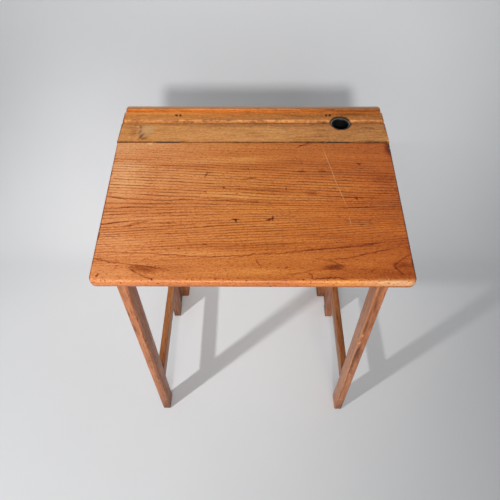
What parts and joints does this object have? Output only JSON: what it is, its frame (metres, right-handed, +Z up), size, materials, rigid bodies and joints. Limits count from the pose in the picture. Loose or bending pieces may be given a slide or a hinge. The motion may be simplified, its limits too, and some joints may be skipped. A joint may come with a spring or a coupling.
{
  "type": "school desk with lift lid",
  "caption": "Wooden school desk with a sloping lift lid over a shallow book well, a fixed pen rail with groove, inkwell and raised back lip, and flat-stock legs joined by low side stretchers.",
  "frame": {"origin": "on the floor under the middle of the desk's overall box", "axes": "+X to the sitter's right, -Y towards the sitter, +Z up"},
  "size_m": [0.61, 0.475, 0.745],
  "materials": {
    "lid_wood": "honey varnish, worn",
    "rail_wood": "honey varnish, worn",
    "frame_wood": "red-brown varnish",
    "well_wood": "thin varnish",
    "plywood": "bare plywood",
    "dowel_wood": "bare beech",
    "dark_steel": "darkened by age",
    "pot": "dull grey-green"
  },
  "bodies": {
    "desk": {"front_leg_left": "frame_wood", "front_leg_right": "frame_wood", "rear_leg_left": "frame_wood", "rear_leg_right": "frame_wood", "side_stretcher_left": "frame_wood", "side_stretcher_right": "frame_wood", "rear_post_left": "frame_wood", "rear_post_right": "frame_wood", "well_side_left": "well_wood", "well_side_right": "well_wood", "bottom_bearer_left": "well_wood", "bottom_bearer_right": "well_wood", "corner_block_left": "well_wood", "corner_block_right": "well_wood", "well_front": "well_wood", "well_bottom": "plywood", "well_back": "well_wood", "back_lip": "rail_wood", "pen_rail": "rail_wood", "rail_batten": "well_wood", "leg_dowels": "dowel_wood", "rail_nails": "dark_steel", "well_back_screws": "dark_steel", "rail_hinge_screws": "dark_steel", "hinge_rail_leaf_left": "dark_steel", "hinge_rail_leaf_right": "dark_steel", "hinge_pin_left": "dark_steel", "hinge_pin_right": "dark_steel"},
    "lid": {"lid_board": "lid_wood", "lid_batten_left": "well_wood", "lid_batten_right": "well_wood", "hinge_lid_leaf_left": "dark_steel", "hinge_lid_leaf_right": "dark_steel", "lid_hinge_screws": "dark_steel", "lid_batten_screws": "dark_steel"},
    "inkwell": {"inkwell_pot": "pot"}
  },
  "joints": [
    {"name": "lid_hinge", "type": "hinge", "parent": "desk", "child": "lid", "pos_m": [0, 0.1169, 0.734], "axis": [-1, 0, 0], "range_deg": [0, 100]},
    {"name": "inkwell_lift", "type": "slide", "parent": "desk", "child": "inkwell", "axis": [0, 0, 1], "range_m": [0, 0.045]}
  ]
}
